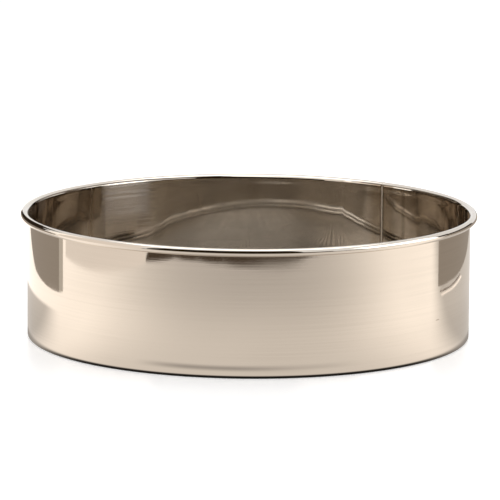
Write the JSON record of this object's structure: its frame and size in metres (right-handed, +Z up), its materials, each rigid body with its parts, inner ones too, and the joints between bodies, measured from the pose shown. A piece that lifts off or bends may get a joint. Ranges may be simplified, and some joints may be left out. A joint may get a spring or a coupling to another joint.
{
  "type": "test sieve",
  "caption": "Round stainless sieve: polished hoop with a hollow curled rim, woven wire cloth near the foot and a ribbed ring that clamps it.",
  "frame": {"origin": "centre of the foot, in the plane that the sieve stands on", "axes": "+Z up along the hoop's axis; the weld is 51.2 degrees round from +X, and the upper wires of the cloth lie along X"},
  "size_m": [0.3092, 0.3092, 0.086],
  "materials": {
    "polished_steel": "mirror polished stainless steel",
    "wire_cloth": "bright drawn stainless wire, woven",
    "ring_steel": "polished rolled strip"
  },
  "bodies": {
    "root": {"hoop": "polished_steel", "wire_mesh": "wire_cloth", "retaining_ring": "ring_steel"}
  },
  "joints": []
}
